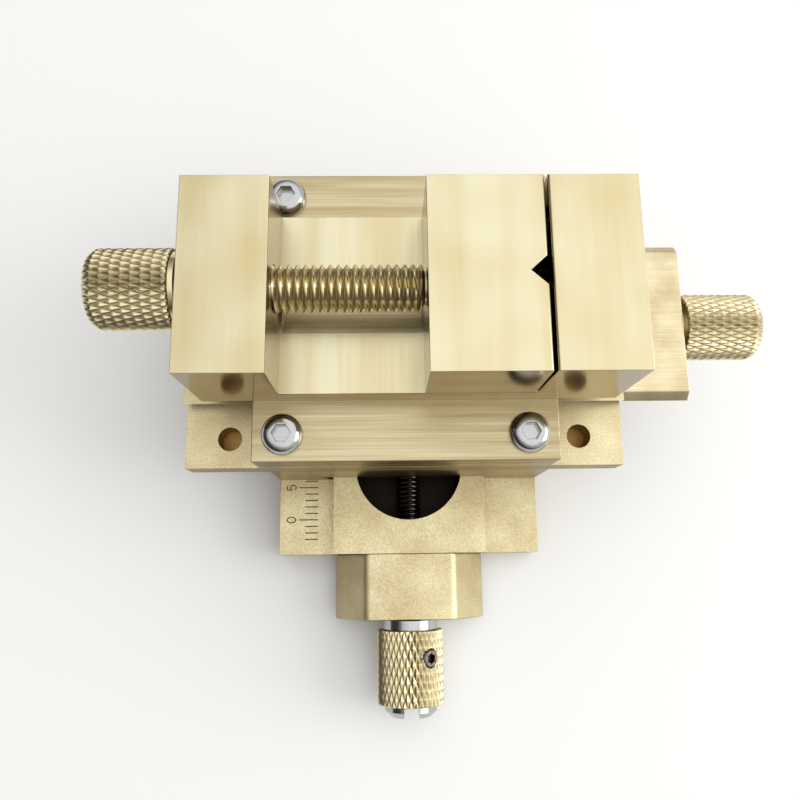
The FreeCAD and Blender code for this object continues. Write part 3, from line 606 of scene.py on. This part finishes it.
PLATE_EDGE = 0.18
RAIL_EDGE = 0.12
eased("y_carriage_plate", PLATE_EDGE, brass_ground)
eased("y_rail_left", RAIL_EDGE, brass_ground)
eased("y_rail_right", RAIL_EDGE, brass_ground)
for node in ("y_gib", "y_drive_nut", "x_gib", "x_drive_nut"):
    keep_node(node, brass_ground)
for node in ("y_gib_screws", "y_drive_nut_screws", "y_rail_screws",
             "x_gib_screws", "x_drive_nut_screws"):
    keep_node(node, black_steel)


# ---- Upper base and its end block ------------------------------------------------
# The second base lies across the lower carriage and is fixed to it from inside. It is
# the same blasted brass, with four blind screw holes in its thin flanges.
UPPER_BASE_EDGE = 0.15
UPPER_BLOCK_EDGE = 0.30
eased("x_base", UPPER_BASE_EDGE, brass_blasted)
eased("x_end_block", UPPER_BLOCK_EDGE, brass_ground)
keep_node("x_base_screws", black_steel)
keep_node("x_end_block_screws", black_steel)


# ---- Upper carriage --------------------------------------------------------------
# A flat brass plate on two dovetail rails. It is brushed lengthwise, so light breaks
# into long streaks along X.
BRUSH = 0.16
BRUSH_LONG = 22.0
SWEEP = 1.6
SWEEP_LONG = 30.0
brass_brushed, tree, shader = new_metal("brass_brushed")
# Brushed brass: satin, with long bright and dull streaks along X, one brush hair wide.
place = add(tree, "TexCoord").outputs["Object"]
hairs_at = add(tree, "Mapping", {"Vector": place, "Scale": per_mm(BRUSH_LONG, BRUSH, BRUSH)})
hairs = add(tree, "TexNoise", {"Vector": hairs_at.outputs["Vector"], "Scale": 1.0, "Detail": 3.0})
sweep_at = add(tree, "Mapping", {"Vector": place, "Scale": per_mm(SWEEP_LONG, SWEEP, SWEEP)})
sweep = add(tree, "TexNoise", {"Vector": sweep_at.outputs["Vector"], "Scale": 1.0, "Detail": 2.0})
toned = add(tree, "ValToRGB", {"Fac": sweep.outputs["Fac"]})
toned.color_ramp.elements[0].position = 0.32
toned.color_ramp.elements[0].color = linear("#B8A67D")
toned.color_ramp.elements[1].position = 0.68
toned.color_ramp.elements[1].color = linear("#CEC29D")
streak = add(tree, "MapRange", {"Value": hairs.outputs["Fac"], "From Min": 0.3, "From Max": 0.7,
                                "To Min": 0.82, "To Max": 1.04})
lined = add(tree, "VectorMath", {0: toned.outputs["Color"], 1: streak.outputs["Result"]},
            operation="MULTIPLY")
rough = add(tree, "MapRange", {"Value": hairs.outputs["Fac"], "From Min": 0.3, "From Max": 0.7,
                               "To Min": 0.40, "To Max": 0.26})
bump = add(tree, "Bump", {"Height": hairs.outputs["Fac"], "Strength": 0.4,
                          "Distance": 0.012 * MM})
# Painted shade: upright faces are given a darker, browner colour.
tree.links.new(toned_upright(tree, lined.outputs["Vector"]), shader.inputs["Base Color"])
tree.links.new(rough.outputs["Result"], shader.inputs["Roughness"])
tree.links.new(bump.outputs["Normal"], shader.inputs["Normal"])

eased("x_carriage_plate", PLATE_EDGE, brass_brushed)
eased("x_rail_front", RAIL_EDGE, brass_ground)
eased("x_rail_back", RAIL_EDGE, brass_ground)


# ---- Button screws ---------------------------------------------------------------
# Four steel button-head screws hold the upper plate on its rails. Each has a domed head
# with a hexagon socket.
BUTTON_LIP = 0.35
SOCKET_FLATS = 1.05
SOCKET_DEEP = 1.0
SHANK = 1.5
DOME_STEPS = 7
BUTTON_SIDES = 48
HEAD_RADIUS = 2.7
DOME_RIM = 1.3
SOCKET_FLARE = 1.06
SOCKET_EDGE = 0.12

lowest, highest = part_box("x_rail_screws")
plate_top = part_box("x_carriage_plate")[1].z / MM
head_high = highest.z / MM - plate_top
corner_x = [lowest.x / MM, highest.x / MM]
corner_y = [lowest.y / MM, highest.y / MM]
dome = []
for i in range(DOME_STEPS + 1):
    swing = math.pi / 2 * i / DOME_STEPS
    dome.append((BUTTON_LIP + (head_high - BUTTON_LIP) * math.sin(swing),
                 HEAD_RADIUS - (HEAD_RADIUS - SOCKET_FLATS * DOME_RIM) * (1 - math.cos(swing))))
rings = [(lowest.z / MM - plate_top, SHANK), (0, SHANK), (0, HEAD_RADIUS)] + dome
rings += [(head_high, hexagon(SOCKET_FLATS * SOCKET_FLARE)),
          (head_high - SOCKET_EDGE, hexagon(SOCKET_FLATS)),
          (head_high - SOCKET_DEEP, hexagon(SOCKET_FLATS))]
button = ring_mesh("one_button_screw", rings, BUTTON_SIDES)
buttons = bmesh.new()
for x in (corner_x[0] + HEAD_RADIUS, corner_x[1] - HEAD_RADIUS):
    for y in (corner_y[0] + HEAD_RADIUS, corner_y[1] - HEAD_RADIUS):
        copy = button.copy()
        copy.transform(Matrix.Translation((x * MM, y * MM, plate_top * MM)))
        buttons.from_mesh(copy)
mesh = bpy.data.meshes.new("button_screws")
buttons.to_mesh(mesh)
buttons.free()
finish_piece(bpy.data.objects.new("button_screws", mesh), steel, "steel", "x_carriage",
             "x_rail_screws")


# ---- Vise body -------------------------------------------------------------------
# One brass block: a milled bed, the solid jaw at the right and a tapped tail at the left.
# Its tops and bed keep the cutter's bands from front to back; its sides are polished.
CUT_FINE = 0.20
CUT_LONG = 14.0
CUT_BAND = 4.0
CUT_BAND_LONG = 60.0
CUT_CLOUD = 9.0
BED_LEVEL = 34.0
TOP_LEVEL = 40.0
brass_milled, tree, shader = new_metal("brass_milled")
# Milled and polished brass: level faces are pale satin with soft bands along Y, and upright faces
# are buffed to a low roughness, so they mirror what is beside them; their colour is painted
# darker and browner as painted shade.
place = add(tree, "TexCoord").outputs["Object"]
fine_at = add(tree, "Mapping", {"Vector": place, "Scale": per_mm(CUT_FINE, CUT_LONG, CUT_LONG)})
fine = add(tree, "TexNoise", {"Vector": fine_at.outputs["Vector"], "Scale": 1.0, "Detail": 3.0})
band_at = add(tree, "Mapping", {"Vector": place,
                                "Scale": per_mm(CUT_BAND, CUT_BAND_LONG, CUT_BAND_LONG)})
band = add(tree, "TexNoise", {"Vector": band_at.outputs["Vector"], "Scale": 1.0, "Detail": 2.0})
cloud = add(tree, "TexNoise", {"Vector": place, "Scale": 1 / (CUT_CLOUD * MM), "Detail": 1.0})
height = add(tree, "SeparateXYZ", {"Vector": place})
on_bed = add(tree, "MapRange", {"Value": height.outputs["Z"], "From Min": BED_LEVEL * MM,
                                "From Max": TOP_LEVEL * MM, "To Min": 0.85, "To Max": 0.55})
tone = add(tree, "Mix", {"Factor": on_bed.outputs["Result"], "A": cloud.outputs["Fac"],
                         "B": band.outputs["Fac"]}, data_type="FLOAT")
toned = add(tree, "ValToRGB", {"Fac": tone.outputs["Result"]})
toned.color_ramp.elements[0].position = 0.32
toned.color_ramp.elements[0].color = linear("#CFC093")
toned.color_ramp.elements[1].position = 0.66
toned.color_ramp.elements[1].color = linear("#DDD6B5")
streak = add(tree, "MapRange", {"Value": fine.outputs["Fac"], "From Min": 0.3, "From Max": 0.7,
                                "To Min": 0.982, "To Max": 1.006})
lined = add(tree, "VectorMath", {0: toned.outputs["Color"], 1: streak.outputs["Result"]},
            operation="MULTIPLY")
facing = add(tree, "SeparateXYZ", {"Vector": add(tree, "NewGeometry").outputs["Normal"]})
level = add(tree, "MapRange", {"Value": facing.outputs["Z"], "From Min": 0.6, "From Max": 0.9})
satin = add(tree, "MapRange", {"Value": fine.outputs["Fac"], "From Min": 0.3, "From Max": 0.7,
                               "To Min": 0.37, "To Max": 0.31})
rough = add(tree, "Mix", {"Factor": level.outputs["Result"], "A": 0.14,
                          "B": satin.outputs["Result"]}, data_type="FLOAT")
bump = add(tree, "Bump", {"Height": fine.outputs["Fac"], "Strength": 0.10,
                          "Distance": 0.008 * MM})
# Painted shade: upright faces are given a darker, browner colour.
tree.links.new(toned_upright(tree, lined.outputs["Vector"]), shader.inputs["Base Color"])
tree.links.new(rough.outputs["Result"], shader.inputs["Roughness"])
tree.links.new(bump.outputs["Normal"], shader.inputs["Normal"])

VISE_EDGE = 0.22
eased("vise_body", VISE_EDGE, brass_milled)
keep_node("vise_mount_screws", steel)


# ---- Moving jaw ------------------------------------------------------------------
# A brass block with an upright V notch for round work. It slides on the bed, held down by
# a keeper below, and a pin in it catches the groove near the tip of the vise screw.
JAW_EDGE = 0.25
eased("moving_jaw", JAW_EDGE, brass_milled)
keep_node("jaw_keeper", brass_ground)
keep_node("jaw_keeper_screw", black_steel)
keep_node("jaw_screw_pin", steel)


# ---- Vise screw ------------------------------------------------------------------
# Turned from one brass bar: a knurled knob, a short collar, an M6 thread that runs
# through the tail, and a plain tip with the groove that the jaw's pin drops into.
VISE_PITCH = 1.0
VISE_THREAD_DEEP = 0.55
VISE_KNOB = 10.2
VISE_COLLAR = 0.8
VISE_COLLAR_RADIUS = 4.6
VISE_SHAFT = 2.95
VISE_TIP = 2.0
VISE_TIP_LONG = 8.0
GROOVE = 1.2
GROOVE_START = 3.0
GROOVE_WIDE = 2.4
VISE_KNOB_EDGE = 0.3
TURNED_EDGE = 0.2
THREAD_RUNOUT = 0.4

lowest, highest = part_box("vise_screw")
length = (highest.x - lowest.x) / MM
radius = (highest.y - lowest.y) / MM / 2
knurled, sides = knurl_rings(0, VISE_KNOB, radius, KNOB_END, VISE_KNOB_EDGE)
thread_start = VISE_KNOB + VISE_COLLAR
tip_start = length - VISE_TIP_LONG
groove = tip_start + GROOVE_START
rings = knurled + [(VISE_KNOB, VISE_COLLAR_RADIUS),
                   (thread_start - TURNED_EDGE, VISE_COLLAR_RADIUS),
                   (thread_start, VISE_COLLAR_RADIUS - TURNED_EDGE), (thread_start, VISE_SHAFT)]
rings += thread_rings(thread_start, tip_start - THREAD_RUNOUT, VISE_SHAFT, VISE_PITCH,
                      VISE_THREAD_DEEP)
rings += [(tip_start, VISE_TIP), (groove, VISE_TIP), (groove, GROOVE),
          (groove + GROOVE_WIDE, GROOVE), (groove + GROOVE_WIDE, VISE_TIP),
          (length - TURNED_EDGE, VISE_TIP), (length, VISE_TIP - TURNED_EDGE)]
mesh = ring_mesh("vise_screw_threaded", rings, sides)
mesh.transform(Matrix.Translation((lowest.x, (lowest.y + highest.y) / 2,
                                   (lowest.z + highest.z) / 2)) @ ALONG_RIGHT.to_4x4())
finish_piece(bpy.data.objects.new("vise_screw_threaded", mesh), brass_turned, "brass",
             "jaw_screw", "vise_screw")


# ---- Table, light and camera -----------------------------------------------------
# A plain pale table, a studio tent that is brightest above and to the right, one broad
# soft light overhead and a smaller one at the right.
TABLE_SIZE = 3.0
TABLE_DROP = 0.01
paper = bpy.data.materials.new("pale_table")
# Smooth white table: even and matt.
paper.use_nodes = True
shader = paper.node_tree.nodes["Principled BSDF"]
shader.inputs["Base Color"].default_value = linear("#FCFCFA")
shader.inputs["Roughness"].default_value = 0.7
table = bmesh.new()
bmesh.ops.create_grid(table, x_segments=1, y_segments=1, size=TABLE_SIZE / 2)
mesh = bpy.data.meshes.new("table")
table.to_mesh(mesh)
table.free()
floor = bpy.data.objects.new("table", mesh)
floor.location.z = -TABLE_DROP * MM
floor.data.materials.append(paper)
bpy.context.scene.collection.objects.link(floor)

world = bpy.data.worlds.new("studio_tent")
bpy.context.scene.world = world
world.use_nodes = True
tree = world.node_tree
towards = add(tree, "TexCoord").outputs["Generated"]
brightest = add(tree, "VectorMath", {0: towards, 1: (0.56, 0.14, 0.82)},
                operation="DOT_PRODUCT")
fall = add(tree, "ValToRGB", {"Fac": brightest.outputs["Value"]})
fall.color_ramp.elements[0].position = 0.0
fall.color_ramp.elements[0].color = linear("#4A4540")
fall.color_ramp.elements[1].position = 0.80
fall.color_ramp.elements[1].color = linear("#FFFFFF")
tree.links.new(fall.outputs["Color"], tree.nodes["Background"].inputs["Color"])
tree.nodes["Background"].inputs["Strength"].default_value = 1.0


def soft_light(name, at, size, watts):
    """A square softbox that faces the object."""
    lamp = bpy.data.lights.new(name, "AREA")
    lamp.size = size
    lamp.energy = watts
    holder = bpy.data.objects.new(name, lamp)
    holder.location = at
    holder.rotation_euler = (-Vector(at)).to_track_quat("-Z", "Y").to_euler()
    bpy.context.scene.collection.objects.link(holder)


soft_light("overhead", (0.06, 0.08, 0.60), 1.0, 1.25)
soft_light("right_side", (0.60, -0.05, 0.34), 0.4, 1.6)

view = bpy.data.cameras.new("camera")
view.lens = 33.87
view.clip_start = 0.005
camera = bpy.data.objects.new("camera", view)
camera.location = (-3.399 * MM, -30.467 * MM, 125.111 * MM)
camera.rotation_euler = [math.radians(a) for a in (12.011, -0.951, -0.693)]
bpy.context.scene.collection.objects.link(camera)
bpy.context.scene.camera = camera
bpy.context.scene.view_settings.view_transform = "Standard"
